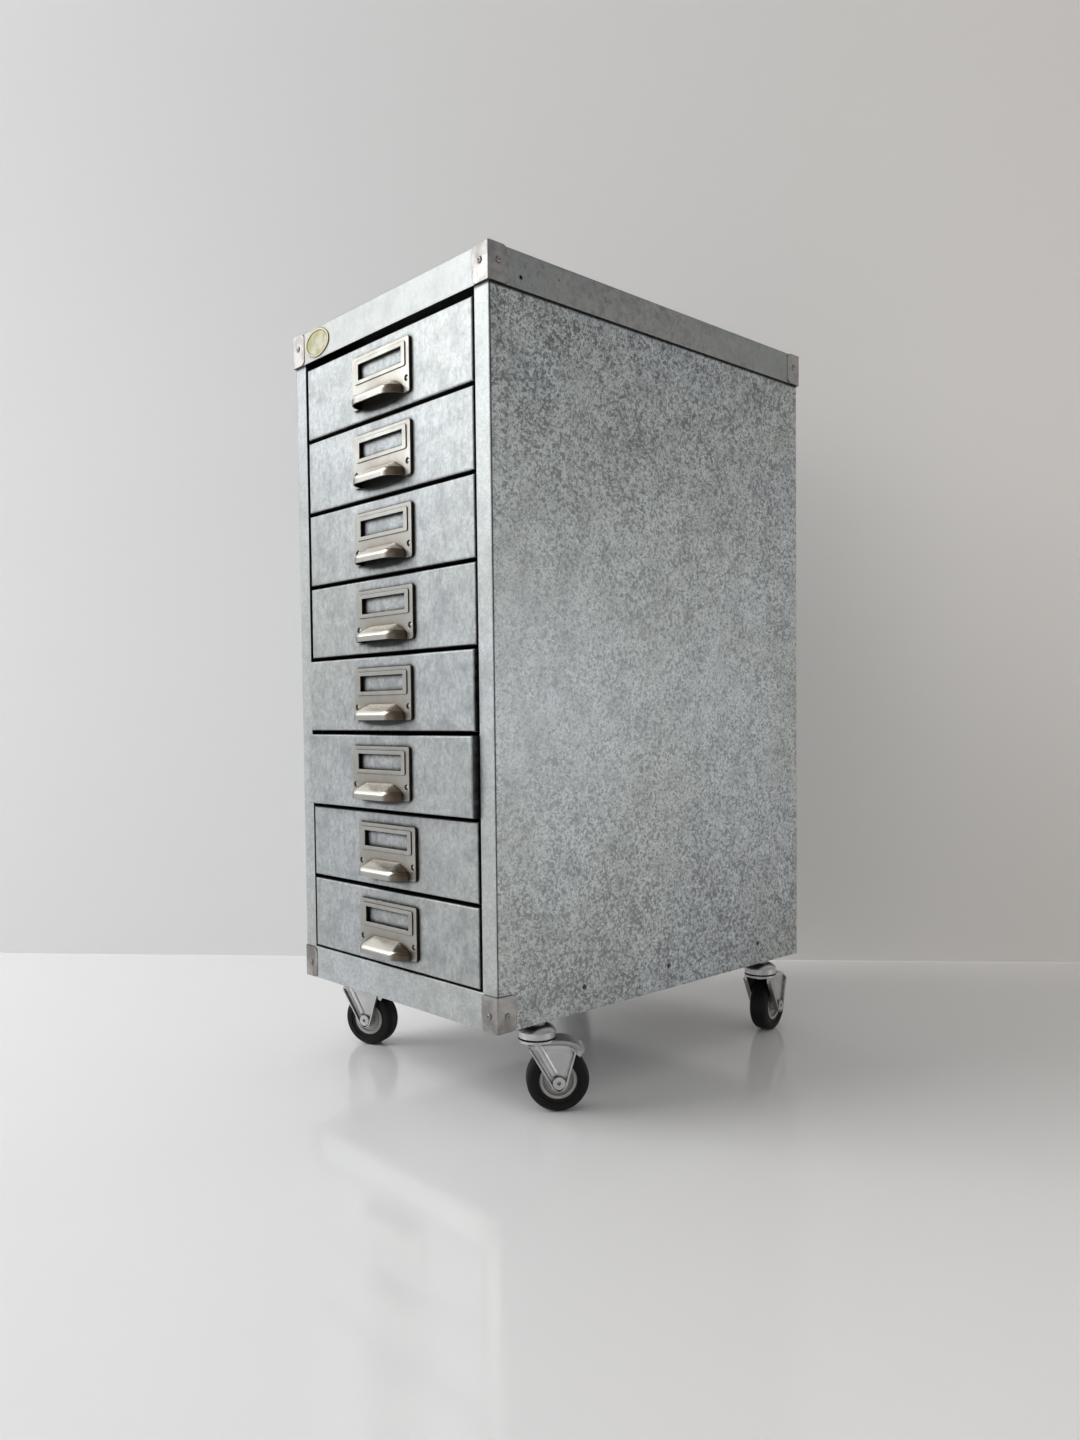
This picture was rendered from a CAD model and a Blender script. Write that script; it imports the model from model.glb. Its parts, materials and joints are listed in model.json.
# %% [markdown]
# # A small galvanised drawer cabinet
# The cabinet is folded from thin zinc-coated sheet. Eight drawers slide out of it, each with a
# pressed nickel pull, and it rolls on four swivel casters. Its pieces arrive as a frame of exact
# solids, so this lesson is about finish: how zinc, nickel, rubber and enamel look, and how small
# repeated pieces such as rivets and screws are made by Geometry Nodes.

# %% Load the frame
import json
import math

import bpy
from mathutils import Matrix, Vector


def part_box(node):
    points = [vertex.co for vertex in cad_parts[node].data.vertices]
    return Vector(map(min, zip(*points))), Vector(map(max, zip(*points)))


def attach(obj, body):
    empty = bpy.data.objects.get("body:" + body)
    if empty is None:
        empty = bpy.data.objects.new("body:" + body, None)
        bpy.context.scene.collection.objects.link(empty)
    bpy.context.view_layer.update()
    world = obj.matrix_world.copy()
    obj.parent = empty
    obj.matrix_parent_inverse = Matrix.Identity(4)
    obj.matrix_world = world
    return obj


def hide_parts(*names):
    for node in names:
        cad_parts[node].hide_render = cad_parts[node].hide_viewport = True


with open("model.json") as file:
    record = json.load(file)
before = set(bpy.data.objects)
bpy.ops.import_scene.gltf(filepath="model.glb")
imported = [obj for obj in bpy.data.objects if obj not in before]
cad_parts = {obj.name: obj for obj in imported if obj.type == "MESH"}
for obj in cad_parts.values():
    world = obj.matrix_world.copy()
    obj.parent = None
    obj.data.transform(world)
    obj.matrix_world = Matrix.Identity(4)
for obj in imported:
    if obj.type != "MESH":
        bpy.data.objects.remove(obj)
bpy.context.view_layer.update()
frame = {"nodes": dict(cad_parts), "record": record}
nodes = frame["nodes"]

# %% [markdown]
# ## Camera
# The camera stands low, in front of the right-hand corner, and looks almost level. A wide lens
# makes the near corner tall and the far ones short, so the height and the lens matter as much as
# the direction. The sideways turn, the tilt and the lean are given as angles, and the camera's
# own axes are worked out from them.

# %% Camera
MM = 0.001
camera_place = Vector((752.8, -721.0, 313.5)) * MM
camera_turn = math.radians(47.20)
camera_tilt = math.radians(-2.18)
camera_lean = math.radians(-0.61)
camera_lens = 26.96
lens_shift = 0.0251

ahead = Vector((-math.sin(camera_turn) * math.cos(camera_tilt),
                math.cos(camera_turn) * math.cos(camera_tilt), math.sin(camera_tilt)))
level_right = Vector((math.cos(camera_turn), math.sin(camera_turn), 0))
level_up = level_right.cross(ahead)
camera_right = level_right * math.cos(camera_lean) + level_up * math.sin(camera_lean)
camera_up = camera_right.cross(ahead)

camera_data = bpy.data.cameras.new("camera")
camera_data.sensor_width = 36
camera_data.lens = camera_lens
camera_data.shift_y = lens_shift
camera = bpy.data.objects.new("camera", camera_data)
bpy.context.scene.collection.objects.link(camera)
camera.matrix_world = Matrix.Translation(camera_place) @ Matrix(
    (camera_right, camera_up, -ahead)).transposed().to_4x4()
bpy.context.scene.camera = camera
bpy.context.scene.view_settings.view_transform = "Standard"
print("camera at", tuple(round(v, 3) for v in camera_place), "lens", camera_lens, "mm")

# %% [markdown]
# ## Node helpers
# Materials and geometry trees are both made of nodes and links, so a few small functions serve
# both. An input that is handed a socket gets a link, and any other value is typed into it.

# %% Node helpers
FLOAT, VECTOR = "NodeSocketFloat", "NodeSocketVector"


def fill(tree, socket, value):
    """Links a socket to another, or types a value into it."""
    if isinstance(value, bpy.types.NodeSocket):
        tree.links.new(value, socket)
    else:
        socket.default_value = value


def add(tree, kind, inputs=None, **settings):
    """Adds a node of that kind, with its settings, and fills its inputs."""
    made = tree.nodes.new(kind)
    for name, value in settings.items():
        setattr(made, name, value)
    for name, value in (inputs or {}).items():
        fill(tree, made.inputs[name], value)
    return made


def calc(tree, operation, a, b=0.0, clamp=False):
    """The output of a Math node."""
    made = add(tree, "ShaderNodeMath", {0: a, 1: b}, operation=operation, use_clamp=clamp)
    return made.outputs[0]


def vector_calc(tree, operation, a, b):
    """The vector that a Vector Math node puts out; b is a number only when scaling."""
    second = "Scale" if operation == "SCALE" else 1
    return add(tree, "ShaderNodeVectorMath", {0: a, second: b}, operation=operation).outputs[0]


def dot(tree, a, b):
    """The dot product of two vectors."""
    made = add(tree, "ShaderNodeVectorMath", {0: a, 1: b}, operation="DOT_PRODUCT")
    return made.outputs["Value"]


def ease(tree, value, low, high, to_low=0.0, to_high=1.0):
    """Value taken smoothly from low..high to to_low..to_high."""
    made = add(tree, "ShaderNodeMapRange", {"Value": value, "From Min": low, "From Max": high,
               "To Min": to_low, "To Max": to_high}, interpolation_type="SMOOTHSTEP")
    return made.outputs["Result"]


def mix(tree, share, a, b):
    """Colour a turning to colour b by share. The node's colours are its inputs 6 and 7."""
    return add(tree, "ShaderNodeMix", {0: share, 6: a, 7: b}, data_type="RGBA").outputs[2]


def new_group(name, inputs, outputs, kind="ShaderNodeTree"):
    """An empty node group with named sockets, given as (name, kind of socket, default)."""
    tree = bpy.data.node_groups.new(name, kind)
    for label, socket, default in inputs:
        made = tree.interface.new_socket(label, in_out="INPUT", socket_type=socket)
        if default is not None:
            made.default_value = default
    for label, socket in outputs:
        tree.interface.new_socket(label, in_out="OUTPUT", socket_type=socket)
    return tree, tree.nodes.new("NodeGroupInput"), tree.nodes.new("NodeGroupOutput")


def grey(value, tint=(1.0, 1.0, 1.0)):
    """A grey of that linear value, tinted."""
    return tuple(value * t for t in tint) + (1.0,)


COOL = (0.935, 1.0, 1.035)
WARM = (1.04, 1.0, 0.95)
GREEN = (0.94, 1.0, 0.97)
OLIVE = (1.0, 1.0, 0.95)
print("helpers ready")

# %% [markdown]
# ## Zinc spangle
# Hot zinc freezes on the sheet as flat crystals, each turned its own way. A Voronoi texture gives
# every crystal one random tone. A noise bends the crystals' edges first, because real ones are
# ragged, and a second, broad noise gathers the dark ones in drifts. The group puts out a soft
# tone, a mask of the flecks and a height for the bump.

# %% Spangle group
spangle, into, out = new_group(
    "zinc spangle",
    [("Vector", VECTOR, None), ("Crystal Size", FLOAT, 0.005), ("Fleck Share", FLOAT, 0.3),
     ("Drift", FLOAT, 0.25), ("Softness", FLOAT, 0.12)],
    [("Tone", FLOAT), ("Fleck", FLOAT), ("Height", FLOAT)])
per_metre = calc(spangle, "DIVIDE", 1.0, into.outputs["Crystal Size"])
place = vector_calc(spangle, "SCALE", into.outputs["Vector"], per_metre)
ragged = add(spangle, "ShaderNodeTexNoise", {"Vector": place, "Scale": 1.3, "Detail": 2.0})
bend = vector_calc(spangle, "SUBTRACT", ragged.outputs["Color"], (0.5, 0.5, 0.5))
bent = vector_calc(spangle, "ADD", place, vector_calc(spangle, "SCALE", bend, 2.2))
crystals = add(spangle, "ShaderNodeTexVoronoi", {"Vector": bent, "Scale": 1.0})
tone = add(spangle, "ShaderNodeSeparateColor", {0: crystals.outputs["Color"]}).outputs[0]
drifts = add(spangle, "ShaderNodeTexNoise", {"Vector": place, "Scale": 0.06, "Detail": 3.0})
drift = calc(spangle, "MULTIPLY", calc(spangle, "SUBTRACT", drifts.outputs[0], 0.5),
             into.outputs["Drift"])
level = calc(spangle, "ADD", calc(spangle, "ADD", tone, drift), into.outputs["Fleck Share"])
spangle.links.new(tone, out.inputs["Tone"])
spangle.links.new(ease(spangle, level, calc(spangle, "SUBTRACT", 1.0, into.outputs["Softness"]),
                       calc(spangle, "ADD", 1.0, into.outputs["Softness"])), out.inputs["Fleck"])
spangle.links.new(crystals.outputs["Distance"], out.inputs["Height"])
print("spangle group:", len(spangle.nodes), "nodes")

# %% [markdown]
# ## Worn edges
# Handling rubs the edges of sheet metal bright, and no real edge is perfectly sharp. A Bevel node
# looks round each edge and gives the normal of a rounded one. Where that normal leaves the true
# one, there is an edge, and a noise breaks the wear up so that it isn't an even line.

# %% Worn edge group
worn_edge, into, out = new_group(
    "worn edge", [("Vector", VECTOR, None), ("Radius", FLOAT, 0.0008), ("Patchiness", FLOAT, 0.5)],
    [("Normal", VECTOR), ("Mask", FLOAT)])
rounded = add(worn_edge, "ShaderNodeBevel", {"Radius": into.outputs["Radius"]}, samples=4)
true_normal = add(worn_edge, "ShaderNodeNewGeometry").outputs["Normal"]
alike = dot(worn_edge, rounded.outputs[0], true_normal)
edge = calc(worn_edge, "MULTIPLY", calc(worn_edge, "SUBTRACT", 1.0, alike), 5.0, clamp=True)
broken = add(worn_edge, "ShaderNodeTexNoise",
             {"Vector": into.outputs["Vector"], "Scale": 140.0, "Detail": 4.0})
broken = calc(worn_edge, "SUBTRACT", 1.0,
              calc(worn_edge, "MULTIPLY", broken.outputs[0], into.outputs["Patchiness"]))
worn_edge.links.new(rounded.outputs[0], out.inputs["Normal"])
worn_edge.links.new(calc(worn_edge, "MULTIPLY", edge, broken), out.inputs["Mask"])
print("worn edge group:", len(worn_edge.nodes), "nodes")

# %% [markdown]
# ## Handling marks
# Old metal carries soft stains where hands and damp have been, and fine scuffs that catch the
# light. One noise makes the stains. The scuffs are a noise stretched fifty to a hundred times
# longer than it is wide, of which only the thin crests are kept.

# %% Handling group
handling, into, out = new_group(
    "handling marks", [("Vector", VECTOR, None), ("Stain Size", FLOAT, 0.06)],
    [("Stain", FLOAT), ("Scuff", FLOAT)])
stain_scale = calc(handling, "DIVIDE", 1.0, into.outputs["Stain Size"])
stains = add(handling, "ShaderNodeTexNoise",
             {"Vector": into.outputs["Vector"], "Scale": stain_scale, "Detail": 6.0,
              "Roughness": 0.62, "Distortion": 0.4})
handling.links.new(ease(handling, stains.outputs[0], 0.36, 0.68), out.inputs["Stain"])
turned = add(handling, "ShaderNodeMapping",
             {"Vector": into.outputs["Vector"], "Rotation": (0.5, 0.35, 0.2),
              "Scale": (16.0, 30.0, 1500.0)}).outputs[0]
scuffs = add(handling, "ShaderNodeTexNoise", {"Vector": turned, "Scale": 1.0, "Detail": 1.0})
handling.links.new(ease(handling, scuffs.outputs[0], 0.70, 0.76), out.inputs["Scuff"])
print("handling group:", len(handling.nodes), "nodes")

# %% [markdown]
# ## Grime in corners
# Dirt stays where a cloth doesn't reach: round rivet heads, under folds and inside the pulls. An
# Ambient Occlusion node measures how much of the sky a point can see, and what sees little of it
# is dirty. A noise keeps the dirt from being an even shade.

# %% Grime group
grime, into, out = new_group(
    "grime in corners",
    [("Vector", VECTOR, None), ("Reach", FLOAT, 0.003), ("Patchiness", FLOAT, 1.0)],
    [("Mask", FLOAT)])
open_sky = add(grime, "ShaderNodeAmbientOcclusion", {"Distance": into.outputs["Reach"]}, samples=6)
hidden = calc(grime, "SUBTRACT", 1.0, open_sky.outputs["AO"])
smudge = add(grime, "ShaderNodeTexNoise",
             {"Vector": into.outputs["Vector"], "Scale": 220.0, "Detail": 3.0})
uneven = calc(grime, "MULTIPLY", calc(grime, "SUBTRACT", smudge.outputs[0], 0.5),
              into.outputs["Patchiness"])
patchy = calc(grime, "MULTIPLY", hidden, calc(grime, "ADD", uneven, 1.2), clamp=True)
grime.links.new(patchy, out.inputs["Mask"])
print("grime group:", len(grime.nodes), "nodes")

# %% [markdown]
# ## Sheet metal finishes
# The lid, the panels, the drawers and the pan are all zinc-coated sheet, but they come from
# different batches, so crystal size and contrast differ. A dark fleck is a crystal with a
# smoother face than its neighbours: it mirrors what is in front of it, while the ground between
# scatters light. So flecks get a lower roughness, a fuller metal and a darker colour. The fronts
# look towards the lamp, where flecks fade, so a mask made from the way a face looks weakens them
# there. Clouds and streaks come next, then dirt, and the rubbed edges last.

# %% Sheet metal
def start_material(name):
    """A new material: its tree, its Principled shader and the piece's own coordinates."""
    material = bpy.data.materials.new(name)
    material.use_nodes = True
    tree = material.node_tree
    shader = tree.nodes["Principled BSDF"]
    coordinates = add(tree, "ShaderNodeTexCoord").outputs["Object"]
    return material, tree, shader, coordinates


def use_group(tree, group, **inputs):
    """Places a node group in a material; an input's underscores stand for spaces."""
    made = add(tree, "ShaderNodeGroup", node_tree=group)
    for name, value in inputs.items():
        fill(tree, made.inputs[name.replace("_", " ")], value)
    return made.outputs


def galvanised(name, light, dark, crystal, share, drift, softness, cloud, streak, grain, roughness,
               tints=(COOL, GREEN)):
    """Spangled zinc: a pale ground, mirroring flecks, clouds, streaks, dirt and rubbed edges."""
    material, tree, shader, coordinates = start_material(name)
    coarse = use_group(tree, spangle, Vector=coordinates, Crystal_Size=crystal, Fleck_Share=share,
                       Drift=drift, Softness=softness)
    fine = use_group(tree, spangle, Vector=coordinates, Crystal_Size=crystal * 0.5,
                     Fleck_Share=share, Drift=drift * 0.5, Softness=softness)
    marks = use_group(tree, handling, Vector=coordinates)
    edge = use_group(tree, worn_edge, Vector=coordinates)
    dirt = use_group(tree, grime, Vector=coordinates, Reach=0.004)
    hollow = use_group(tree, grime, Vector=coordinates, Reach=0.018)
    faces = add(tree, "ShaderNodeTexCoord").outputs["Normal"]
    off_front = ease(tree, dot(tree, faces, (0, -1, 0)), 0.2, 0.9, 1.0, 0.30)
    flecks = calc(tree, "MAXIMUM", coarse["Fleck"], calc(tree, "MULTIPLY", fine["Fleck"], 0.8))
    fleck = calc(tree, "MULTIPLY", off_front, flecks)
    clouds = add(tree, "ShaderNodeTexNoise", {"Vector": coordinates, "Scale": 45.0, "Detail": 5.0})
    brushed = add(tree, "ShaderNodeMapping",
                  {"Vector": coordinates, "Scale": (230.0, 230.0, 115.0)}).outputs[0]
    streaks = add(tree, "ShaderNodeTexNoise",
                  {"Vector": brushed, "Scale": 1.0, "Detail": 2.0, "Distortion": 0.6})
    batch = add(tree, "ShaderNodeTexNoise", {"Vector": coordinates, "Scale": 5.0, "Detail": 2.0})
    tint = ease(tree, batch.outputs[0], 0.38, 0.62)

    # The ground: two tints of zinc, warm coarse crystals and a grain of small dark ones.
    ground = mix(tree, tint, grey(light, tints[0]), grey(light * 0.93, tints[1]))
    ground = mix(tree, ease(tree, coarse["Tone"], 0.4, 1.0, 0.0, 0.3), ground, grey(light, WARM))
    ground = mix(tree, ease(tree, fine["Tone"], 0.0, 1.0, 0.0, grain), ground, grey(dark, COOL))
    # On it flecks, clouds and streaks, then stains and dirt, and last the rubbed edges.
    shade = mix(tree, calc(tree, "MULTIPLY", fleck, 0.85), ground, grey(dark, COOL))
    shade = mix(tree, ease(tree, off_front, 0.3, 1.0, 0.16, 0.0), shade, grey(dark, COOL))
    shade = mix(tree, ease(tree, clouds.outputs[0], 0.42, 0.70, 0.0, cloud), shade,
                grey(dark * 0.9, COOL))
    shade = mix(tree, ease(tree, streaks.outputs[0], 0.44, 0.70, 0.0, streak), shade,
                grey(dark * 0.8, COOL))
    shade = mix(tree, calc(tree, "MULTIPLY", marks["Stain"], 0.08), shade, grey(dark * 0.8, WARM))
    shade = mix(tree, ease(tree, dirt["Mask"], 0.10, 0.50, 0.0, 0.85), shade, grey(0.03, WARM))
    shade = mix(tree, ease(tree, hollow["Mask"], 0.18, 0.44, 0.0, 0.97), shade, grey(0.015, WARM))
    shade = mix(tree, calc(tree, "MULTIPLY", edge["Mask"], 0.4), shade, grey(light * 1.1))
    tree.links.new(shade, shader.inputs["Base Color"])

    # Flecks are fuller metal and smoother. Dirt is rougher, and scuffs are a little smoother.
    tree.links.new(ease(tree, fleck, 0.0, 1.0, 0.62, 0.92), shader.inputs["Metallic"])
    rough = ease(tree, fleck, 0.0, 1.0, roughness, roughness - 0.13)
    rough = calc(tree, "ADD", rough, calc(tree, "MULTIPLY", dirt["Mask"], 0.3))
    rough = calc(tree, "SUBTRACT", rough, calc(tree, "MULTIPLY", marks["Scuff"], 0.06))
    tree.links.new(rough, shader.inputs["Roughness"])
    bump = add(tree, "ShaderNodeBump", {"Strength": 0.10, "Distance": 0.0002,
               "Height": coarse["Height"], "Normal": edge["Normal"]})
    tree.links.new(bump.outputs[0], shader.inputs["Normal"])
    return material


panel_zinc = galvanised("panel zinc", light=0.70, dark=0.19, crystal=0.0024, share=0.31, drift=0.7,
                        softness=0.20, cloud=0.22, streak=0.10, grain=0.16, roughness=0.42)
lid_zinc = galvanised("lid zinc", light=0.47, dark=0.30, crystal=0.0040, share=0.10, drift=0.4,
                      softness=0.24, cloud=0.34, streak=0.20, grain=0.22, roughness=0.43,
                      tints=(OLIVE, GREEN))
drawer_zinc = galvanised("drawer zinc", light=0.57, dark=0.29, crystal=0.0044, share=0.14,
                         drift=0.5, softness=0.18, cloud=0.52, streak=0.42, grain=0.46,
                         roughness=0.43)
inner_zinc = galvanised("inner zinc", light=0.34, dark=0.24, crystal=0.0060, share=0.12, drift=0.4,
                        softness=0.20, cloud=0.20, streak=0.10, grain=0.16, roughness=0.46)
print("sheet finishes:", [m.name for m in (panel_zinc, lid_zinc, drawer_zinc, inner_zinc)])

# %% [markdown]
# ## Dirt that knows its place
# Some dirt has one cause and one place: it gathers under the lid's edge, along the front folds,
# round the small hole in the lid's skirt, and under each cup, where fingers reach in. The lid's
# sides and the tops of the uprights are a little duller too. Masks made from the piece's own
# coordinates put it there. The drawers are evenly spaced, so one mask that repeats with their
# spacing serves them all.

# %% Dirt in its place
def soil(material, mask, color):
    """Lays a colour over a finished material's base colour, where the mask says."""
    tree = material.node_tree
    base = tree.nodes["Principled BSDF"].inputs["Base Color"]
    tree.links.new(mix(tree, mask, base.links[0].from_socket, color), base)


def own_place(material):
    """The tree of a material, and the piece's own coordinates in it, picked by their letters."""
    tree = material.node_tree
    spot = add(tree, "ShaderNodeSeparateXYZ",
               {0: add(tree, "ShaderNodeTexCoord").outputs["Object"]})
    return tree, spot.outputs


def faces_side(tree):
    """One on faces that look sideways, along X, and zero elsewhere."""
    faces = add(tree, "ShaderNodeTexCoord").outputs["Normal"]
    return calc(tree, "GREATER_THAN", calc(tree, "ABSOLUTE", dot(tree, faces, (1, 0, 0))), 0.7)


def distance(tree, across, up):
    """How far a place is, given its two offsets."""
    offset = add(tree, "ShaderNodeCombineXYZ", {0: across, 1: up}).outputs[0]
    return add(tree, "ShaderNodeVectorMath", {0: offset}, operation="LENGTH").outputs["Value"]


def repeated(tree, z, level, spacing):
    """Height above the nearest of the levels that repeat, one per drawer, below the highest."""
    above = calc(tree, "SUBTRACT", z, level - spacing * (len(drawers) + 0.5))
    return calc(tree, "SUBTRACT", calc(tree, "MODULO", above, spacing), spacing / 2)


drawers = [body for body in frame["record"]["behaviour"]["bodies"] if body.startswith("drawer_")]
lid_low, lid_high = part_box("lid")
tree, place = own_place(lid_zinc)
# The hole and a dark spot, each with its inset, rise and radius in millimetres and its strength.
for inset, rise, radius, strength in ((32, 9, 2.4, 0.85), (72, 17.5, 1.3, 0.6)):
    from_spot = distance(tree, calc(tree, "SUBTRACT", place["Y"], lid_low[1] + inset * MM),
                         calc(tree, "SUBTRACT", place["Z"], lid_low[2] + rise * MM))
    spot = ease(tree, from_spot, radius * 0.6 * MM, radius * MM, strength, 0.0)
    soil(lid_zinc, calc(tree, "MULTIPLY", spot, faces_side(tree)), grey(0.02, WARM))
at_top = ease(tree, place["Z"], lid_high[2] - 1.6 * MM, lid_high[2] - 0.7 * MM, 0.0, 0.6)
soil(lid_zinc, calc(tree, "MULTIPLY", at_top, faces_side(tree)), grey(0.05, WARM))
soil(lid_zinc, calc(tree, "MULTIPLY", faces_side(tree), 0.3), grey(0.20, OLIVE))

tree, place = own_place(panel_zinc)
under_lid = ease(tree, place["Z"], lid_low[2] - 3.0 * MM, lid_low[2] - 1.2 * MM, 0.0, 0.95)
soil(panel_zinc, under_lid, grey(0.015, WARM))
panel_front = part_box("right_side_panel")[0][1]
at_fold = ease(tree, place["Y"], panel_front + 0.9 * MM, panel_front + 2.0 * MM, 0.8, 0.0)
soil(panel_zinc, calc(tree, "MULTIPLY", at_fold, faces_side(tree)), grey(0.03))
faces_front = calc(tree, "SUBTRACT", 1.0, faces_side(tree))
high_up = ease(tree, place["Z"], 0.35, 0.60, 0.0, 0.30)
soil(panel_zinc, calc(tree, "MULTIPLY", faces_front, high_up), grey(0.24, COOL))

pull_low, pull_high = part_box("drawer_1_pull")
pitch = pull_low[2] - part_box("drawer_2_pull")[0][2]
pull_half = (pull_high[0] - pull_low[0]) / 2
stain_half_w, stain_half_h = pull_half * 0.95, 6.0 * MM
tree, place = own_place(drawer_zinc)
from_cup = distance(
    tree, calc(tree, "DIVIDE", place["X"], stain_half_w),
    calc(tree, "DIVIDE", repeated(tree, place["Z"], pull_low[2], pitch), stain_half_h))
soil(drawer_zinc, ease(tree, from_cup, 0.62, 1.0, 0.9, 0.0), grey(0.02, WARM))
print("drawer spacing", round(pitch / MM, 2), "mm, pull width", round(2 * pull_half / MM, 2), "mm")

# %% [markdown]
# ## Plain metals
# The brackets are rolled steel, the pulls are nickel plate gone warm with age, and the casters
# and fasteners are zinc plate. All are a metal with stains, scuffs, rubbed edges and grime in
# its corners, so one function serves, with its own colours, gloss and depth of stain.

# %% Plain metals
small_edge = 0.6 * MM


def plain_metal(name, color, stain_color, stain, roughness, spread, edge_color, grime_color,
                grime_reach=0.003, grime_share=0.8):
    """Bare or plated metal with stains, scuffs, rubbed edges and grime."""
    material, tree, shader, coordinates = start_material(name)
    marks = use_group(tree, handling, Vector=coordinates, Stain_Size=0.02)
    edge = use_group(tree, worn_edge, Vector=coordinates, Radius=small_edge)
    dirt = use_group(tree, grime, Vector=coordinates, Reach=grime_reach)
    deep = ease(tree, dirt["Mask"], 0.22, 0.70)
    shade = mix(tree, calc(tree, "MULTIPLY", marks["Stain"], stain), color, stain_color)
    shade = mix(tree, calc(tree, "MULTIPLY", edge["Mask"], 0.8), shade, edge_color)
    shade = mix(tree, calc(tree, "MULTIPLY", deep, grime_share), shade, grime_color)
    tree.links.new(shade, shader.inputs["Base Color"])
    shader.inputs["Metallic"].default_value = 1.0
    rough = calc(tree, "ADD", roughness, calc(tree, "MULTIPLY", marks["Stain"], spread))
    rough = calc(tree, "ADD", rough, calc(tree, "MULTIPLY", deep, 0.35))
    rough = calc(tree, "ADD", rough, calc(tree, "MULTIPLY", marks["Scuff"], 0.05))
    tree.links.new(rough, shader.inputs["Roughness"])
    tree.links.new(edge["Normal"], shader.inputs["Normal"])
    return material


bracket_steel = plain_metal(
    "bracket steel", color=grey(0.40, (1.04, 1.0, 0.97)), stain_color=grey(0.14, WARM), stain=0.7,
    roughness=0.42, spread=0.08, edge_color=grey(0.09, WARM), grime_color=grey(0.04, WARM))
nickel = plain_metal(
    "aged nickel", color=(0.36, 0.365, 0.345, 1), stain_color=(0.26, 0.235, 0.20, 1), stain=0.35,
    roughness=0.32, spread=0.08, edge_color=(0.66, 0.65, 0.62, 1),
    grime_color=(0.10, 0.08, 0.06, 1), grime_share=0.4)
pin_nickel = plain_metal(
    "pin nickel", color=(0.42, 0.39, 0.35, 1), stain_color=(0.26, 0.22, 0.18, 1), stain=0.3,
    roughness=0.26, spread=0.08, edge_color=(0.60, 0.57, 0.52, 1),
    grime_color=(0.10, 0.08, 0.06, 1), grime_reach=0.001, grime_share=0.5)
bright_zinc = plain_metal(
    "bright zinc", color=grey(0.58), stain_color=grey(0.34), stain=0.35, roughness=0.28,
    spread=0.12, edge_color=grey(0.68), grime_color=grey(0.04, WARM), grime_reach=0.004,
    grime_share=0.75)
rivet_zinc = plain_metal(
    "rivet zinc", color=grey(0.32, WARM), stain_color=grey(0.14, WARM), stain=0.5, roughness=0.26,
    spread=0.14, edge_color=grey(0.40), grime_color=grey(0.02, WARM), grime_reach=0.002,
    grime_share=1.0)
dull_zinc = plain_metal(
    "dull zinc", color=grey(0.12), stain_color=grey(0.06), stain=0.6, roughness=0.42, spread=0.15,
    edge_color=grey(0.30), grime_color=grey(0.02, WARM))
metals = (bracket_steel, nickel, pin_nickel, bright_zinc, rivet_zinc, dull_zinc)
print("plain metals:", [metal.name for metal in metals])

# %% [markdown]
# ## Where fingers rub the pulls
# Fingers polish the top and the front of a cup, and brown tarnish stays on its ends, where they
# don't reach. The way a face looks tells them apart: faces that look up are rubbed bright, and
# faces that look sideways are brown. The flat label frame looks straight ahead and keeps its tone.
# The little dimples round the rivets are left out, and the creases are nearly black.

# %% Worn pulls
shadowed = (0.25, 0.215, 0.175, 1)
polished = (0.90, 0.85, 0.76, 1)
brown_tarnish = (0.12, 0.088, 0.060, 1)
old_dirt = (0.02, 0.014, 0.010, 1)

pin_low, pin_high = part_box("drawer_1_rivets")
pin_r = (pin_high[2] - pin_low[2]) / 2
tree, place = own_place(nickel)
shader = tree.nodes["Principled BSDF"]
from_middle = calc(tree, "ABSOLUTE", place["X"])
from_pin = distance(tree, calc(tree, "SUBTRACT", from_middle, pin_high[0] - pin_r),
                    repeated(tree, place["Z"], pin_low[2] + pin_r, pitch))
off_pins = ease(tree, from_pin, pin_r + 0.8 * MM, pin_r + 1.6 * MM)
faces = add(tree, "ShaderNodeTexCoord").outputs["Normal"]
sideways = calc(tree, "ABSOLUTE", dot(tree, faces, (1, 0, 0)))
tarnished = calc(tree, "MULTIPLY", off_pins, ease(tree, sideways, 0.12, 0.50))
rubbed = calc(tree, "MULTIPLY", ease(tree, dot(tree, faces, (0, 0, 1)), 0.04, 0.30),
              calc(tree, "SUBTRACT", 1.0, tarnished))
near_cup = use_group(tree, grime, Reach=0.014, Patchiness=0.0)["Mask"]
crease = use_group(tree, grime, Reach=0.006, Patchiness=0.0)["Mask"]
polish = calc(tree, "MULTIPLY", rubbed, ease(tree, crease, 0.20, 0.70, 1.0, 0.0))
soil(nickel, ease(tree, near_cup, 0.05, 0.28, 0.0, 0.75), shadowed)
soil(nickel, polish, polished)
soil(nickel, calc(tree, "MULTIPLY", tarnished, 0.9), brown_tarnish)
soil(nickel, calc(tree, "MULTIPLY", off_pins, ease(tree, crease, 0.22, 0.52)), old_dirt)
rough = shader.inputs["Roughness"].links[0].from_socket
tree.links.new(calc(tree, "SUBTRACT", rough, calc(tree, "MULTIPLY", rubbed, 0.12)),
               shader.inputs["Roughness"])
print("nickel tree:", len(tree.nodes), "nodes")

# %% [markdown]
# ## Rubber, moulded hub and enamel
# These three aren't metal. The tyre is black rubber, grey with floor dust on its shoulders. The
# hub is a moulded grey plastic with a fine grain. The badge is cream enamel inside a raised rim
# whose edge has worn to brass.

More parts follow.
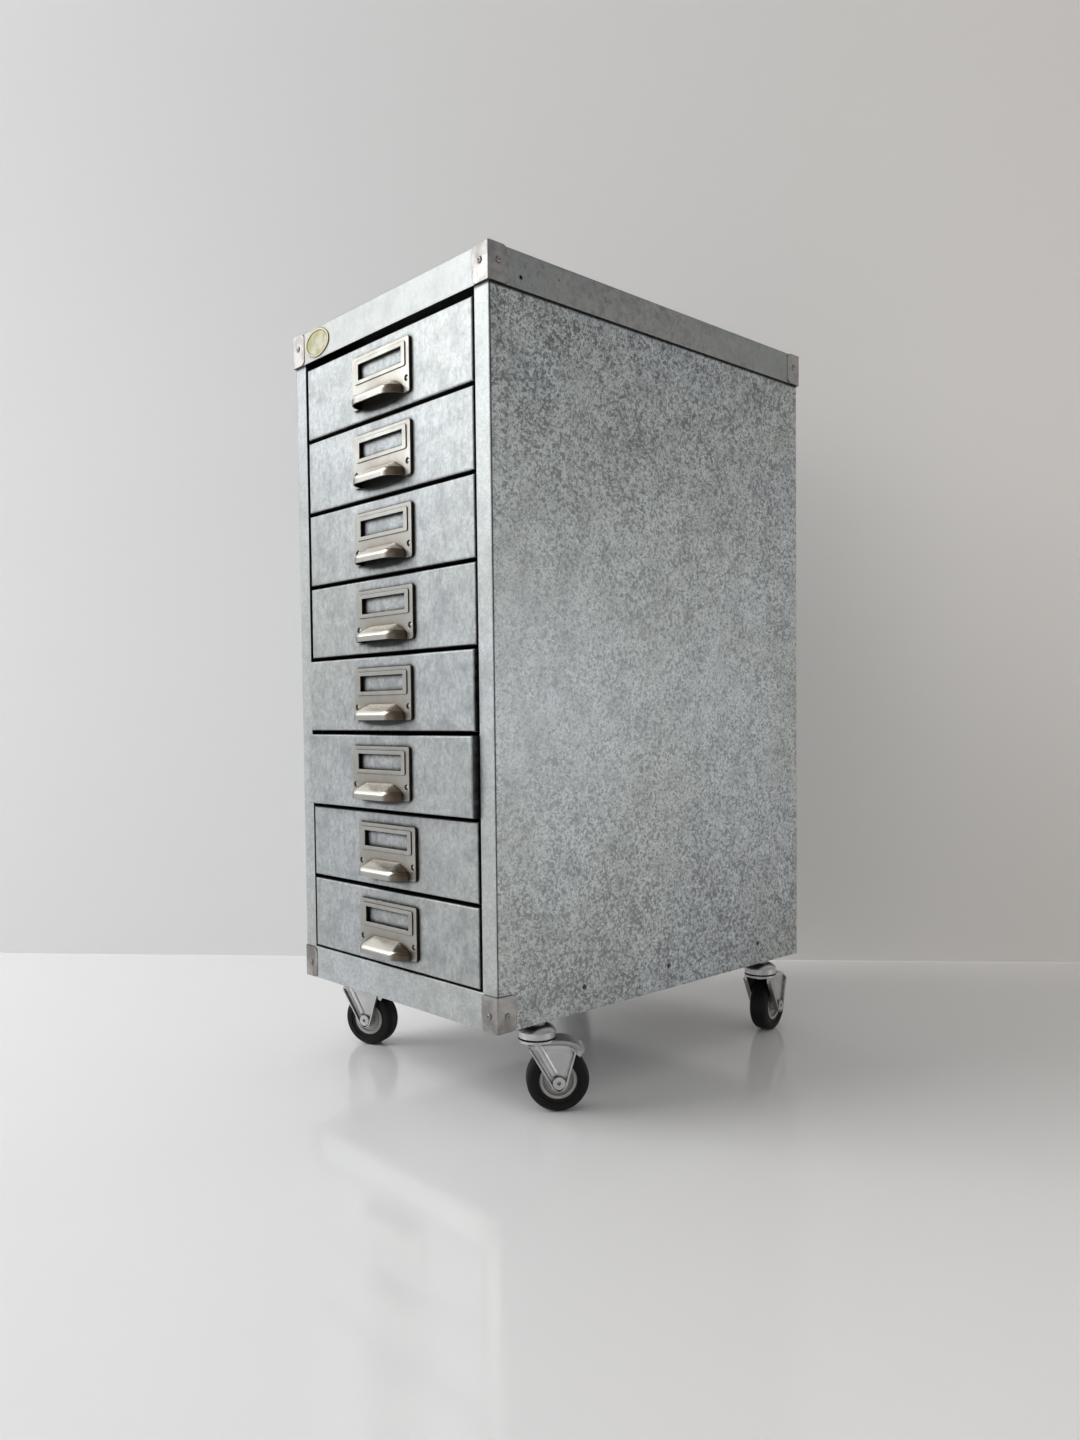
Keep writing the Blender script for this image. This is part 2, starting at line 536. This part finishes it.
# %% Rubber, hub and badge
def dusty(name, color, dust_color, dust, roughness, grain, grime_color):
    """A matt moulded finish with dust in soft patches, grime in corners and a fine grain."""
    material, tree, shader, coordinates = start_material(name)
    marks = use_group(tree, handling, Vector=coordinates, Stain_Size=0.012)
    edge = use_group(tree, worn_edge, Vector=coordinates, Radius=small_edge)
    dirt = use_group(tree, grime, Vector=coordinates, Reach=0.003)
    shade = mix(tree, calc(tree, "MULTIPLY", marks["Stain"], dust), color, dust_color)
    shade = mix(tree, calc(tree, "MULTIPLY", edge["Mask"], 0.35), shade, dust_color)
    shade = mix(tree, calc(tree, "MULTIPLY", dirt["Mask"], 0.9), shade, grime_color)
    tree.links.new(shade, shader.inputs["Base Color"])
    tree.links.new(calc(tree, "ADD", roughness, calc(tree, "MULTIPLY", marks["Stain"], 0.15)),
                   shader.inputs["Roughness"])
    pores = add(tree, "ShaderNodeTexNoise", {"Vector": coordinates, "Scale": grain, "Detail": 2.0})
    bump = add(tree, "ShaderNodeBump", {"Strength": 0.15, "Distance": 0.0001,
               "Height": pores.outputs[0], "Normal": edge["Normal"]})
    tree.links.new(bump.outputs[0], shader.inputs["Normal"])
    return material


rubber = dusty("tyre rubber", color=grey(0.004), dust_color=grey(0.04, WARM), dust=0.14,
               roughness=0.50, grain=2500.0, grime_color=grey(0.002))
rubber.node_tree.nodes["Principled BSDF"].inputs["Specular IOR Level"].default_value = 0.25
hub_plastic = dusty("hub plastic", color=grey(0.44, WARM), dust_color=grey(0.52, WARM), dust=0.4,
                    roughness=0.40, grain=1800.0, grime_color=grey(0.14))
enamel = dusty("badge enamel", color=(0.57, 0.55, 0.45, 1), dust_color=(0.34, 0.34, 0.07, 1),
               dust=0.85, roughness=0.30, grain=900.0, grime_color=(0.10, 0.08, 0.03, 1))
print("soft finishes:", [m.name for m in (rubber, hub_plastic, enamel)])

# %% [markdown]
# ## The badge's rim
# The badge is one piece, so its two finishes are told apart by place. Distance from its middle,
# counted in shares of its half width and half height, is one all along the oval's outline. The
# enamel ends where the raised rim begins, and a dark line of old polish lies in the corner.

# %% Badge rim
badge_low, badge_high = (Vector(corner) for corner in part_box("badge"))
badge_middle = (badge_low + badge_high) / 2
badge_half = (badge_high - badge_low) / 2
tree = enamel.node_tree
shader = tree.nodes["Principled BSDF"]
coordinates = add(tree, "ShaderNodeTexCoord").outputs["Object"]
from_middle = vector_calc(tree, "SUBTRACT", coordinates, tuple(badge_middle))
shares = vector_calc(tree, "MULTIPLY", from_middle, (1 / badge_half.x, 0, 1 / badge_half.z))
outward_share = add(tree, "ShaderNodeVectorMath", {0: shares}, operation="LENGTH").outputs["Value"]
rim_start, old_polish, brass = 0.89, (0.12, 0.11, 0.05, 1), (0.42, 0.38, 0.24, 1)
on_rim = ease(tree, outward_share, rim_start, rim_start + 0.03)
in_corner = calc(tree, "MULTIPLY", ease(tree, outward_share, 0.80, rim_start),
                 calc(tree, "SUBTRACT", 1.0, on_rim))
face = shader.inputs["Base Color"].links[0].from_socket
face = mix(tree, calc(tree, "MULTIPLY", in_corner, 0.85), face, old_polish)
tree.links.new(mix(tree, on_rim, face, brass), shader.inputs["Base Color"])
tree.links.new(on_rim, shader.inputs["Metallic"])
print("badge middle:", tuple(round(v, 3) for v in badge_middle))

# %% [markdown]
# ## Dress the frame
# Every solid already sits in its place, and only its material slots are filled. The record names
# each node's finish slot, so the materials are handed out by slot, and nothing is missed.

# %% Hand out the materials
finishes = {
    "galvanised_lid": lid_zinc, "galvanised_panel": panel_zinc, "inner_steel": inner_zinc,
    "bracket_steel": bracket_steel, "zinc_fastener": bright_zinc, "badge_enamel": enamel,
    "galvanised_drawer": drawer_zinc, "nickel_pull": nickel, "zinc_fork": bright_zinc,
    "hub_grey": hub_plastic, "tyre_rubber": rubber}
slot_of = {part["node"]: part["material_slot"] for part in frame["record"]["subparts"]}
body_of = {node: body for body, held in frame["record"]["behaviour"]["bodies"].items()
           for node in held}
for name, slot_name in slot_of.items():
    piece = nodes[name]
    piece.data.materials.clear()
    piece.data.materials.append(finishes[slot_name])
print("dressed", len(slot_of), "nodes in", len(finishes), "finishes")

# %% [markdown]
# ## Where the fasteners sit
# The frame holds each group of fasteners as plain domed pins. Each pin is a loose island of its
# mesh, so walking over the connected faces finds them one by one. The pin is thinnest along its
# own axis, and its head is on the side that is farther from the middle of the cabinet.

# %% Fastener places
def islands(mesh):
    """The lowest and highest corner of every loose island of a mesh."""
    group = list(range(len(mesh.vertices)))

    def root(i):
        while group[i] != i:
            group[i] = group[group[i]]
            i = group[i]
        return i

    same_place = {}
    for vertex in mesh.vertices:
        key = tuple(round(c, 6) for c in vertex.co)
        group[root(vertex.index)] = root(same_place.setdefault(key, vertex.index))
    for face in mesh.polygons:
        first = root(face.vertices[0])
        for index in face.vertices[1:]:
            group[root(index)] = first
    corners = {}
    for vertex in mesh.vertices:
        low, high = corners.setdefault(root(vertex.index), (vertex.co.copy(), vertex.co.copy()))
        for axis in range(3):
            low[axis] = min(low[axis], vertex.co[axis])
            high[axis] = max(high[axis], vertex.co[axis])
    return list(corners.values())


def head_places(node, axis=None):
    """(top of the head, outward direction, radius) for each pin of a CAD node."""
    places = []
    for low, high in islands(nodes[node].data):
        size = high - low
        thin = min(range(3), key=lambda k: size[k]) if axis is None else axis
        middle = (low + high) / 2
        outward = Vector((0, 0, 0))
        outward[thin] = math.copysign(1.0, middle[thin])
        top = middle.copy()
        top[thin] = high[thin] if outward[thin] > 0 else low[thin]
        wide = max(size[k] for k in range(3) if k != thin)
        places.append((top, outward, wide / 2))
    return places


corner_pins = head_places("corner_rivets")
side_pins = head_places("side_screws", axis=0)
back_pins = head_places("back_screws", axis=1)
print("corner rivets:", len(corner_pins), "side screws:", len(side_pins), "back:", len(back_pins))

# %% [markdown]
# ## Fastener tree
# A fastener head is a low dome. The tree starts from a cone with rings on its slope and lifts each
# ring to the height of a dome, so the head has round shoulders and a flat seat. A rivet can have
# a pit in its middle, where its stem was pulled through. A screw's cross recess is cut out by a
# boolean with two crossed bars, whose sizes are shares of the head's radius. One head is made, set
# on every point with its axis along the point's outward direction, and given a random turn from a
# fixed seed.

# %% Fastener tree
head_sides, head_rings = 28, 12
shoulder_power, dome_power = 2.6, 0.55
bar_length, bar_width = 1.15, 0.24


def fastener_tree(name, recessed):
    """A geometry tree that sets a domed head, with a cross recess or plain, on each point."""
    tree, into, out = new_group(
        name, [("Points", "NodeSocketGeometry", None), ("Head Radius", FLOAT, 0.0027),
               ("Head Height", FLOAT, 0.0013), ("Recess", FLOAT, 0.0007), ("Pit", FLOAT, 0.0),
               ("Seed", "NodeSocketInt", 1), ("Finish", "NodeSocketMaterial", None)],
        [("Geometry", "NodeSocketGeometry")], "GeometryNodeTree")
    radius, height = into.outputs["Head Radius"], into.outputs["Head Height"]
    cone = add(tree, "GeometryNodeMeshCone",
               {"Vertices": head_sides, "Side Segments": head_rings, "Radius Top": 0.0,
                "Radius Bottom": radius, "Depth": height})
    position = add(tree, "GeometryNodeInputPosition").outputs[0]
    spot = add(tree, "ShaderNodeSeparateXYZ", {0: position})
    outness = calc(tree, "DIVIDE", distance(tree, spot.outputs[0], spot.outputs[1]), radius)
    fall = calc(tree, "SUBTRACT", 1.0, calc(tree, "POWER", outness, shoulder_power), clamp=True)
    lift = calc(tree, "MULTIPLY", height, calc(tree, "POWER", fall, dome_power))
    sunk = calc(tree, "MULTIPLY", into.outputs["Pit"], ease(tree, outness, 0.12, 0.42, 1.0, 0.0))
    lift = calc(tree, "SUBTRACT", lift, sunk)
    domed = add(tree, "ShaderNodeCombineXYZ", {0: spot.outputs[0], 1: spot.outputs[1], 2: lift})
    is_slope = calc(tree, "GREATER_THAN", spot.outputs[2], 0.00001)
    head = add(tree, "GeometryNodeSetPosition",
               {"Geometry": cone.outputs["Mesh"], "Selection": is_slope,
                "Position": domed.outputs[0]}).outputs[0]
    head = add(tree, "GeometryNodeSetShadeSmooth", {"Geometry": head}).outputs[0]
    if recessed:
        wide = calc(tree, "MULTIPLY", radius, bar_length)
        narrow = calc(tree, "MULTIPLY", radius, bar_width)
        deep = calc(tree, "MULTIPLY", into.outputs["Recess"], 2.0)
        up = add(tree, "ShaderNodeCombineXYZ", {2: height}).outputs[0]
        for across, along in ((wide, narrow), (narrow, wide)):
            size = add(tree, "ShaderNodeCombineXYZ", {0: across, 1: along, 2: deep}).outputs[0]
            bar = add(tree, "GeometryNodeMeshCube", {"Size": size}).outputs["Mesh"]
            bar = add(tree, "GeometryNodeTransform",
                      {"Geometry": bar, "Translation": up}).outputs[0]
            cut = add(tree, "GeometryNodeMeshBoolean", {"Mesh 1": head, "Mesh 2": bar},
                      operation="DIFFERENCE", solver="EXACT")
            head = cut.outputs["Mesh"]
    outward = add(tree, "GeometryNodeInputNamedAttribute", {"Name": "outward"},
                  data_type="FLOAT_VECTOR").outputs["Attribute"]
    upright = add(tree, "FunctionNodeAlignRotationToVector", {"Vector": outward}, axis="Z")
    turn = add(tree, "FunctionNodeRandomValue", {"Min": 0.0, "Max": math.tau,
               "Seed": into.outputs["Seed"]}, data_type="FLOAT").outputs["Value"]
    spin = add(tree, "FunctionNodeAxisAngleToRotation", {"Axis": (0, 0, 1), "Angle": turn})
    turned = add(tree, "FunctionNodeRotateRotation",
                 {"Rotation": upright.outputs[0], "Rotate By": spin.outputs[0]},
                 rotation_space="LOCAL")
    heads = add(tree, "GeometryNodeInstanceOnPoints",
                {"Points": into.outputs["Points"], "Instance": head,
                 "Rotation": turned.outputs[0]}).outputs[0]
    real = add(tree, "GeometryNodeRealizeInstances", {"Geometry": heads}).outputs[0]
    finished = add(tree, "GeometryNodeSetMaterial",
                   {"Geometry": real, "Material": into.outputs["Finish"]}).outputs[0]
    tree.links.new(finished, out.inputs[0])
    return tree


rivet_tree = fastener_tree("domed rivets", False)
screw_tree = fastener_tree("cross recess screws", True)
for made in (rivet_tree, screw_tree):
    print(made.name, "tree:", len(made.nodes), "nodes")

# %% [markdown]
# ## Grow the fasteners
# The seats are handed to the tree as a mesh of loose points with an outward direction on each.
# A modifier's inputs are set by their identifiers, the evaluated result is kept as a plain mesh,
# and the modifier goes away before the piece is tied to its body. The heads are as wide as the
# frame's pins, except the side screws, which are small.

# %% Grow the fasteners
def grow(name, tree, places, node, values):
    """Runs a fastener tree on the places and lets the result stand for that CAD node."""
    mesh = bpy.data.meshes.new(name)
    mesh.from_pydata([tuple(place) for place, _ in places], [], [])
    directions = mesh.attributes.new("outward", "FLOAT_VECTOR", "POINT")
    for item, (_, outward) in zip(directions.data, places):
        item.vector = outward
    piece = bpy.data.objects.new(name, mesh)
    bpy.context.scene.collection.objects.link(piece)
    modifier = piece.modifiers.new("grow", "NODES")
    modifier.node_group = tree
    for item in tree.interface.items_tree:
        if item.item_type == "SOCKET" and item.in_out == "INPUT" and item.name in values:
            modifier[item.identifier] = values[item.name]
    depsgraph = bpy.context.evaluated_depsgraph_get()
    grown = piece.evaluated_get(depsgraph)
    piece.data = bpy.data.meshes.new_from_object(grown, depsgraph=depsgraph)
    piece.data.name = name
    piece.modifiers.clear()
    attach(piece, body_of[node])
    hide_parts(node)
    return piece


head_height = 1.3 * MM
seat_sink = 0.05 * MM
rivet_pit = 0.9 * MM
screw_recess = 0.7 * MM
side_head_r = 1.9 * MM


def seats(pins, height):
    """Each head's seat on the sheet, a trace sunk in, and its outward direction."""
    return [(top - outward * (height + seat_sink), outward) for top, outward, _ in pins]


rivets = grow("domed_corner_rivets", rivet_tree, seats(corner_pins, head_height), "corner_rivets",
              {"Head Radius": corner_pins[0][2], "Head Height": head_height + seat_sink,
               "Pit": rivet_pit, "Seed": 3, "Finish": rivet_zinc})
side = grow("side_screw_heads", screw_tree, seats(side_pins, head_height), "side_screws",
            {"Head Radius": side_head_r, "Head Height": head_height + seat_sink,
             "Recess": screw_recess, "Seed": 5, "Finish": dull_zinc})
back = grow("back_screw_heads", screw_tree, seats(back_pins, head_height), "back_screws",
            {"Head Radius": back_pins[0][2], "Head Height": head_height + seat_sink,
             "Recess": screw_recess, "Seed": 7, "Finish": dull_zinc})
for piece in (rivets, side, back):
    print(piece.name, len(piece.data.polygons), "faces")

# %% [markdown]
# ## Pull rivets
# Each pull is held by two small nickel rivets. They move with their drawer, so every drawer gets
# a piece of its own from the same tree.

# %% Pull rivets
for number, drawer in enumerate(drawers):
    node = drawer + "_rivets"
    pins = head_places(node, axis=1)
    pin_radius = pins[0][2]
    grow(drawer + "_rivet_heads", rivet_tree, seats(pins, pin_radius / 2), node,
         {"Head Radius": pin_radius, "Head Height": pin_radius / 2 + seat_sink, "Seed": number,
          "Finish": pin_nickel})
print("pull rivets on", len(drawers), "drawers, radius", round(pin_radius / MM, 2), "mm")

# %% [markdown]
# ## Studio
# A white, slightly glossy floor and a pale wall close behind the cabinet. The wall is seen from
# its front only, so that the cabinet can also be looked at from behind, and it ends a little
# beyond the picture, so that the side panel mirrors the room and not the wall.

# %% Floor and wall
wall_point = Vector((-263, 216, 0)) * MM
wall_turn = math.radians(42.2)
wall_along = Vector((math.cos(wall_turn), math.sin(wall_turn), 0))
wall_left, wall_right, wall_height = 3.2, 1.25, 2.6


def backdrop(name, corners, left_color, right_color, roughness, fade=1.0, one_sided=False):
    """A pale surface that isn't part of the cabinet. Its colour changes from left to right, and
    the share of it called fade is left at its top."""
    mesh = bpy.data.meshes.new(name)
    mesh.from_pydata([tuple(c) for c in corners], [], [(0, 1, 2, 3)])
    surface = bpy.data.objects.new(name, mesh)
    bpy.context.scene.collection.objects.link(surface)
    material = bpy.data.materials.new(name)
    material.use_nodes = True
    tree = material.node_tree
    shader = tree.nodes["Principled BSDF"]
    coordinates = add(tree, "ShaderNodeTexCoord").outputs["Object"]
    to_right = ease(tree, dot(tree, coordinates, tuple(wall_along)), -0.5, 0.8)
    upward = ease(tree, dot(tree, coordinates, (0, 0, 1)), 0.3, 1.3, 1.0, fade)
    paint = mix(tree, to_right, left_color, right_color)
    tree.links.new(vector_calc(tree, "SCALE", paint, upward), shader.inputs["Base Color"])
    shader.inputs["Roughness"].default_value = roughness
    if one_sided:
        behind = add(tree, "ShaderNodeNewGeometry").outputs["Backfacing"]
        tree.links.new(calc(tree, "SUBTRACT", 1.0, behind), shader.inputs["Alpha"])
    mesh.materials.append(material)


floor_half = 6.0
floor_drop = 0.0002
backdrop("floor", [(-floor_half, -floor_half, -floor_drop), (floor_half, -floor_half, -floor_drop),
                   (floor_half, floor_half, -floor_drop), (-floor_half, floor_half, -floor_drop)],
         left_color=grey(0.95, (0.995, 0.99, 1.0)), right_color=grey(0.95, (1.02, 1.0, 0.975)),
         roughness=0.12)
left_foot = wall_point - wall_along * wall_left
right_foot = wall_point + wall_along * wall_right
wall_top = Vector((0, 0, wall_height))
backdrop("wall", [left_foot, right_foot, right_foot + wall_top, left_foot + wall_top],
         left_color=grey(0.90), right_color=grey(0.93, (1.035, 1.0, 0.96)), roughness=0.8,
         fade=0.84, one_sided=True)
for foot in (left_foot, right_foot):
    print("a foot of the wall at", tuple(round(v, 2) for v in foot))

# %% [markdown]
# ## Lamps and room
# One broad lamp high on the left lights the fronts, and a small one low on the right lifts the
# side. The world stands for the rest of the room: it is pale at the height of the horizon and
# darker overhead. Three parts of it are dim, above all the one behind the camera, because metal
# looks like metal only when it has something dark to mirror. What the camera itself sees of the
# world is plain and pale.

# %% Lamps and room
target = Vector((0, 0, 0.36))


def soft_lamp(name, place, size, power):
    """A square area lamp at place, facing the cabinet."""
    data = bpy.data.lights.new(name, "AREA")
    data.size = size
    data.energy = power
    lamp = bpy.data.objects.new(name, data)
    lamp.location = place
    lamp.rotation_mode = "QUATERNION"
    lamp.rotation_quaternion = (Vector(place) - target).to_track_quat("Z", "Y")
    bpy.context.scene.collection.objects.link(lamp)


soft_lamp("key", place=(-1.85, -2.0, 2.2), size=2.5, power=88)
soft_lamp("side fill", place=(2.5, 1.5, 0.3), size=1.2, power=4.0)

world = bpy.data.worlds.new("room")
bpy.context.scene.world = world
world.use_nodes = True
tree = world.node_tree
direction = add(tree, "ShaderNodeTexCoord").outputs["Generated"]
height = add(tree, "ShaderNodeSeparateXYZ", {0: direction}).outputs[2]
room = ease(tree, height, 0.02, 0.50, 1.20, 0.38)
# Each dim part: its direction, the cosines where it begins and is full, and the light left in it.
behind_camera = ((0.90, -0.43, 0.0), 0.74, 0.95, 0.20)
upper_right = ((0.60, 0.68, 0.42), 0.85, 0.99, 0.45)
front_left = ((-0.80, -0.60, 0.02), 0.84, 0.98, 0.63)
for towards, rim, core, left_over in (behind_camera, upper_right, front_left):
    dimmed = ease(tree, dot(tree, direction, towards), rim, core, 1.0, left_over)
    room = calc(tree, "MULTIPLY", room, dimmed)
seen = add(tree, "ShaderNodeLightPath").outputs["Is Camera Ray"]
tint = add(tree, "ShaderNodeCombineXYZ", {0: room, 1: room, 2: room}).outputs[0]
background = tree.nodes["Background"]
tree.links.new(mix(tree, seen, tint, grey(0.66)), background.inputs["Color"])
